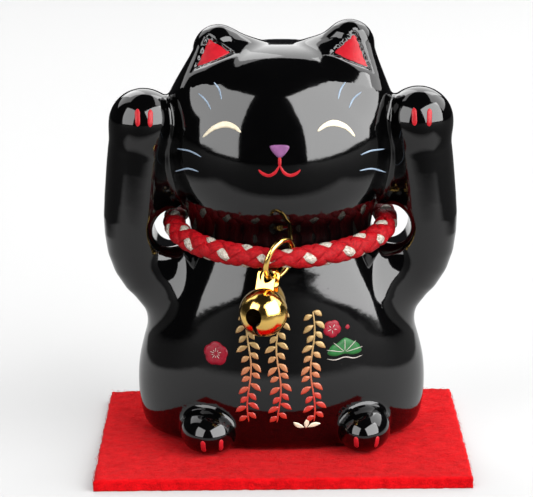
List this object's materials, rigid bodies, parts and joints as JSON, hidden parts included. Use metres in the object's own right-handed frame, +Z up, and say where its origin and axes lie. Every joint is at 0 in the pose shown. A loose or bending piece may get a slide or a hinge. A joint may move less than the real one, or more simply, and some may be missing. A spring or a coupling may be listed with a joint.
{
  "type": "beckoning cat figurine",
  "caption": "Sitting glazed ceramic cat with both paws raised, a braided cord collar with a jingle bell, standing on a felt mat.",
  "frame": {"origin": "middle of the felt mat's underside", "axes": "+Z up, the cat faces -Y, +X is the side on the right when it is seen from the front"},
  "size_m": [0.088, 0.075, 0.1037],
  "materials": {
    "felt": "red needle-punched felt",
    "black_glaze": "glossy black glaze over slip-cast ware",
    "red_braid": "satin thread braid with metallic flecks",
    "red_thread": "satin thread, wound",
    "gold_metal": "polished, gold plated",
    "pellet_steel": "plain steel ball",
    "red_enamel": "glossy overglaze enamel",
    "green_enamel": "glossy overglaze enamel",
    "pale_enamel": "glossy overglaze enamel",
    "gold_lustre": "fired gold lustre"
  },
  "bodies": {
    "mat": {"felt_mat": "felt"},
    "cat": {"cat_body": "black_glaze", "collar_cord": "red_braid", "cord_binding": "red_thread"},
    "ring": {"jump_ring": "gold_metal"},
    "bell": {"bell_strap": "gold_metal", "bell_upper": "gold_metal", "bell_lower": "gold_metal"},
    "pellet": {"bell_pellet": "pellet_steel"}
  },
  "joints": [
    {"name": "cat_lift", "type": "slide", "parent": "mat", "child": "cat", "axis": [0, 0, 1], "range_m": [0, 0.04]},
    {"name": "ring_swing", "type": "hinge", "parent": "cat", "child": "ring", "pos_m": [-0.0004, -0.02285, 0.05145], "axis": [1, 0, 0], "range_deg": [-50, 0]},
    {"name": "bell_swing", "type": "hinge", "parent": "ring", "child": "bell", "pos_m": [-0.00226, -0.02231, 0.04676], "axis": [-0.5368, -0.7997, 0.2689], "range_deg": [-5, 20]},
    {"name": "pellet_travel", "type": "slide", "parent": "bell", "child": "pellet", "axis": [0.1529, 0.3909, 0.9077], "range_m": [0, 0.006]}
  ]
}
